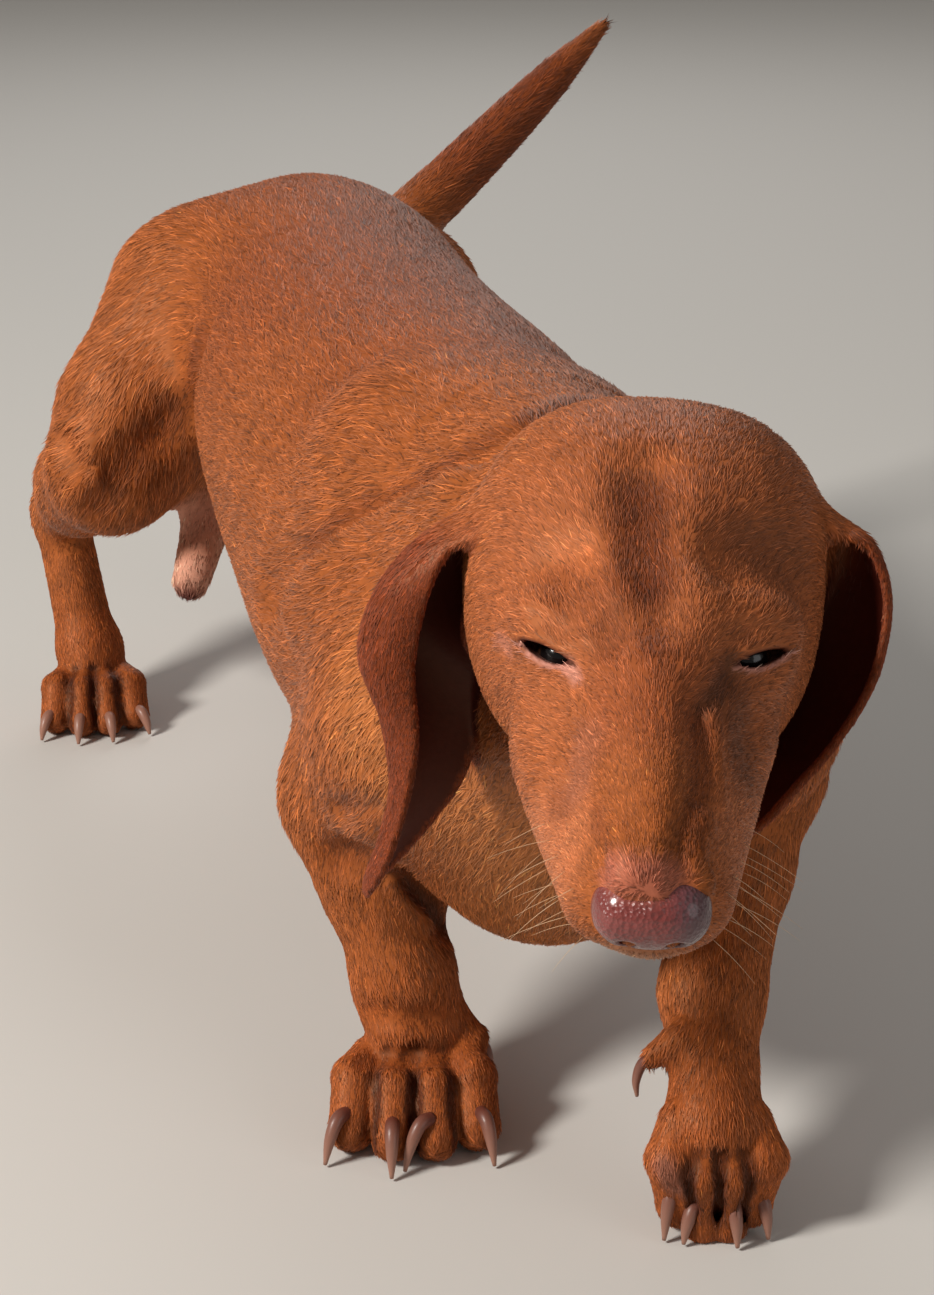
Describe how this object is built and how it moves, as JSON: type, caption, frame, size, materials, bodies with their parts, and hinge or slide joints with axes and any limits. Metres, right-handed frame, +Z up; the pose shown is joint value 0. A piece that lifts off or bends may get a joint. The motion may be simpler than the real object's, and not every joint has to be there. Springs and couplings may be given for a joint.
{
  "type": "dachshund",
  "caption": "Life-size smooth-haired dachshund in mid-step, head low, left forepaw on its toes, tail raised; a still museum-style model that stands on its own feet.",
  "frame": {"origin": "on the floor, under the middle of the dog's overall box", "axes": "+Z up, the nose points to -Y and the tail to +Y, the dog's right side is towards -X"},
  "size_m": [0.3242, 0.7516, 0.305],
  "materials": {
    "coat": "short smooth red fur",
    "ear": "thin skin with short soft fur",
    "nose leather": "moist, fine grained, brown-pink",
    "eye": "wet, dark brown",
    "claw": "smooth horn, brown-pink"
  },
  "bodies": {
    "root": {"torso": "coat", "neck": "coat", "tail": "coat", "nose": "nose leather", "eye_right": "eye", "ear_right": "ear", "eye_left": "eye", "ear_left": "ear", "head": "coat", "foreleg_right": "coat", "claw_fore_right_1": "claw", "claw_fore_right_2": "claw", "claw_fore_right_3": "claw", "claw_fore_right_4": "claw", "dewclaw_right": "claw", "paw_fore_right": "coat", "foreleg_left": "coat", "claw_fore_left_1": "claw", "claw_fore_left_2": "claw", "claw_fore_left_3": "claw", "claw_fore_left_4": "claw", "dewclaw_left": "claw", "paw_fore_left": "coat", "hindleg_right": "coat", "claw_hind_right_1": "claw", "claw_hind_right_2": "claw", "claw_hind_right_3": "claw", "claw_hind_right_4": "claw", "paw_hind_right": "coat", "hindleg_left": "coat", "claw_hind_left_1": "claw", "claw_hind_left_2": "claw", "claw_hind_left_3": "claw", "claw_hind_left_4": "claw", "paw_hind_left": "coat"}
  },
  "joints": []
}
